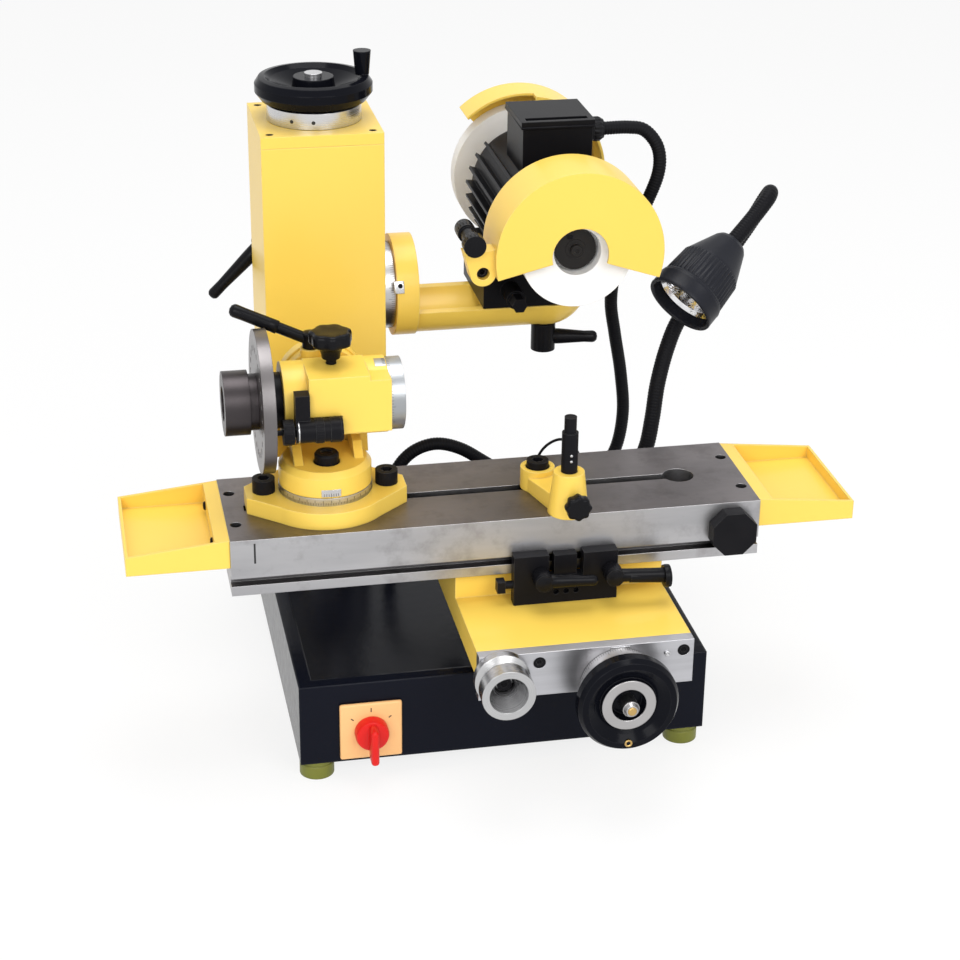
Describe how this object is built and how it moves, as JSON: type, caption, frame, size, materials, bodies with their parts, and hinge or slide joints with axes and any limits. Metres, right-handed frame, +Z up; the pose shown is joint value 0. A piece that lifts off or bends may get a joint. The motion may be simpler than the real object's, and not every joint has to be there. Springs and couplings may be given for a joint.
{
  "type": "tool and cutter grinder",
  "caption": "Bench tool and cutter grinder: T-slot table on a cross slide, indexing work head, tooth rest, tilting wheel head on a lifting column, guards and gooseneck lamp.",
  "frame": {"origin": "on the bench, under the middle of the machine's box", "axes": "+X along the table to the operator's right, +Y from the operator to the column, +Z up"},
  "size_m": [0.716, 0.605, 0.6383],
  "materials": {
    "yellow_paint": "gloss",
    "black_paint": "gloss",
    "black_metal": "satin",
    "black_plastic": "satin",
    "ground_iron": "ground",
    "steel": "turned",
    "dark_steel": "satin",
    "abrasive": "rough",
    "foot_rubber": "matte",
    "orange_plastic": "satin",
    "red_plastic": "gloss",
    "hose_plastic": "satin",
    "reflector": "mirror"
  },
  "bodies": {
    "base": {"base_casting": "black_paint", "rubber_feet": "foot_rubber", "column_post": "black_paint", "switch_plate": "orange_plastic", "base_fittings": "black_plastic", "conduit": "hose_plastic", "lamp_lead": "hose_plastic"},
    "cross_saddle": {"saddle": "yellow_paint", "front_plate": "ground_iron", "plate_screws": "black_metal", "stop_block": "black_metal"},
    "cross_feed": {"cross_screw": "steel", "cross_handwheel": "black_plastic", "cross_dial": "steel"},
    "traverse": {"traverse_drive": "steel"},
    "work_table": {"table": "ground_iron", "table_rack": "steel", "left_tray": "yellow_paint", "right_tray": "yellow_paint", "workhead_base": "yellow_paint", "turntable_scale": "steel", "clamp_bolts": "black_metal", "tooth_rest_bracket": "yellow_paint"},
    "dog": {"stop_dog": "black_plastic"},
    "rest_post": {"tooth_rest_post": "black_metal"},
    "rest_knob": {"tooth_rest_knob": "black_plastic"},
    "turntable": {"workhead_turntable": "yellow_paint"},
    "tilt_head": {"spindle_housing": "yellow_paint", "index_bracket": "black_metal"},
    "spindle": {"work_spindle": "steel", "index_plate": "ground_iron", "draw_knob": "dark_steel", "work_dial": "steel"},
    "plunger": {"index_plunger": "black_metal"},
    "star_knob": {"tilt_knob": "black_plastic"},
    "head_lever": {"spindle_lever": "black_plastic"},
    "stop_lever_left": {"left_stop_lever": "black_metal"},
    "stop_lever_right": {"right_stop_lever": "black_metal"},
    "switch": {"switch_knob": "red_plastic"},
    "lamp": {"gooseneck": "hose_plastic", "lamp_head": "black_plastic", "lamp_reflector": "reflector"},
    "sleeve": {"column_sleeve": "yellow_paint", "column_cap": "yellow_paint", "cap_screws": "black_metal", "arm_scale": "steel"},
    "lift": {"lift_screw": "steel", "lift_handwheel": "black_plastic"},
    "column_lock": {"column_lever": "black_plastic"},
    "arm": {"arm_casting": "yellow_paint"},
    "arm_lock": {"arm_lever": "black_plastic"},
    "motor": {"motor_body": "black_paint", "terminal_box": "black_paint", "rear_guard": "yellow_paint"},
    "guard": {"front_guard": "yellow_paint", "guard_knobs": "black_plastic"},
    "rotor": {"motor_shaft": "steel", "front_wheel": "abrasive", "rear_wheel": "abrasive", "wheel_flanges": "black_metal"}
  },
  "joints": [
    {"name": "switch_turn", "type": "hinge", "parent": "base", "child": "switch", "pos_m": [-0.134, -0.1775, 0.0535], "axis": [0, 1, 0], "range_deg": [0, 90]},
    {"name": "cross_slide", "type": "slide", "parent": "base", "child": "cross_saddle", "axis": [0, 1, 0], "range_m": [-0.08, 0.045]},
    {"name": "cross_feed_turn", "type": "hinge", "parent": "cross_saddle", "child": "cross_feed", "pos_m": [0.093, -0.26, 0.122], "axis": [0, 1, 0], "range_deg": [-5800, 3300]},
    {"name": "table_traverse", "type": "slide", "parent": "cross_saddle", "child": "work_table", "axis": [1, 0, 0], "range_m": [-0.092, 0.18]},
    {"name": "traverse_turn", "type": "hinge", "parent": "cross_saddle", "child": "traverse", "pos_m": [-0.021, -0.26, 0.142], "axis": [0, 1, 0], "range_deg": [-460, 865]},
    {"name": "stop_left_turn", "type": "hinge", "parent": "cross_saddle", "child": "stop_lever_left", "pos_m": [0.037, -0.156, 0.195], "axis": [0, 1, 0], "range_deg": [-40, 10]},
    {"name": "stop_right_turn", "type": "hinge", "parent": "cross_saddle", "child": "stop_lever_right", "pos_m": [0.107, -0.156, 0.195], "axis": [0, 1, 0], "range_deg": [-40, 10]},
    {"name": "dog_slide", "type": "slide", "parent": "work_table", "child": "dog", "axis": [-1, 0, 0], "range_m": [-0.015, 0.08]},
    {"name": "rest_post_slide", "type": "slide", "parent": "work_table", "child": "rest_post", "axis": [0, 0, 1], "range_m": [-0.01, 0.015]},
    {"name": "rest_knob_turn", "type": "hinge", "parent": "work_table", "child": "rest_knob", "pos_m": [0.071, -0.15, 0.267], "axis": [0, 1, 0], "range_deg": [-90, 90]},
    {"name": "workhead_turn", "type": "hinge", "parent": "work_table", "child": "turntable", "pos_m": [-0.16, -0.0725, 0.26], "axis": [0, 0, 1], "range_deg": [-90, 90]},
    {"name": "workhead_tilt", "type": "hinge", "parent": "turntable", "child": "tilt_head", "pos_m": [-0.157, -0.03, 0.361], "axis": [0, 1, 0], "range_deg": [-3, 15]},
    {"name": "spindle_turn", "type": "hinge", "parent": "tilt_head", "child": "spindle", "pos_m": [-0.15, -0.0725, 0.361], "axis": [1, 0, 0], "continuous": true},
    {"name": "plunger_slide", "type": "slide", "parent": "tilt_head", "child": "plunger", "axis": [-1, 0, 0], "range_m": [0, 0.005]},
    {"name": "star_knob_turn", "type": "hinge", "parent": "tilt_head", "child": "star_knob", "pos_m": [-0.153, -0.0785, 0.41], "axis": [0, 0, 1], "range_deg": [-90, 90]},
    {"name": "head_lever_turn", "type": "hinge", "parent": "tilt_head", "child": "head_lever", "pos_m": [-0.168, -0.0455, 0.41], "axis": [0, 0, -1], "range_deg": [0, 30]},
    {"name": "lamp_swing", "type": "hinge", "parent": "base", "child": "lamp", "pos_m": [0.169, 0.0775, 0.12], "axis": [0, 0, 1], "range_deg": [-12, 12]},
    {"name": "column_lift", "type": "slide", "parent": "base", "child": "sleeve", "axis": [0, 0, 1], "range_m": [-0.06, 0.07], "deforming": ["conduit"]},
    {"name": "lift_turn", "type": "hinge", "parent": "sleeve", "child": "lift", "pos_m": [-0.136, 0.1465, 0.58], "axis": [0, 0, 1], "range_deg": [-4400, 5100]},
    {"name": "column_lock_turn", "type": "hinge", "parent": "sleeve", "child": "column_lock", "pos_m": [-0.184, 0.2165, 0.416], "axis": [0, 1, 0], "range_deg": [-30, 30]},
    {"name": "arm_tilt", "type": "hinge", "parent": "sleeve", "child": "arm", "pos_m": [-0.068, 0.1465, 0.39], "axis": [-1, 0, 0], "range_deg": [-20, 20], "deforming": ["conduit"]},
    {"name": "arm_lock_turn", "type": "hinge", "parent": "arm", "child": "arm_lock", "pos_m": [0.105, 0.1465, 0.33], "axis": [0, 0, 1], "range_deg": [-40, 40]},
    {"name": "motor_swivel", "type": "hinge", "parent": "arm", "child": "motor", "pos_m": [0.105, 0.1465, 0.36], "axis": [0, 0, 1], "range_deg": [-20, 20], "deforming": ["conduit"]},
    {"name": "guard_swing", "type": "hinge", "parent": "motor", "child": "guard", "pos_m": [0.105, 0.055, 0.464], "axis": [0, 1, 0], "range_deg": [-20, 20]},
    {"name": "rotor_spin", "type": "hinge", "parent": "motor", "child": "rotor", "pos_m": [0.105, 0.15, 0.464], "axis": [0, 1, 0], "continuous": true}
  ],
  "couplings": [
    {"joint": "cross_feed_turn", "follows": "cross_slide", "rad_per_m": 1256.6},
    {"joint": "traverse_turn", "follows": "table_traverse", "rad_per_m": 83.333},
    {"joint": "lift_turn", "follows": "column_lift", "rad_per_m": 1256.6}
  ]
}
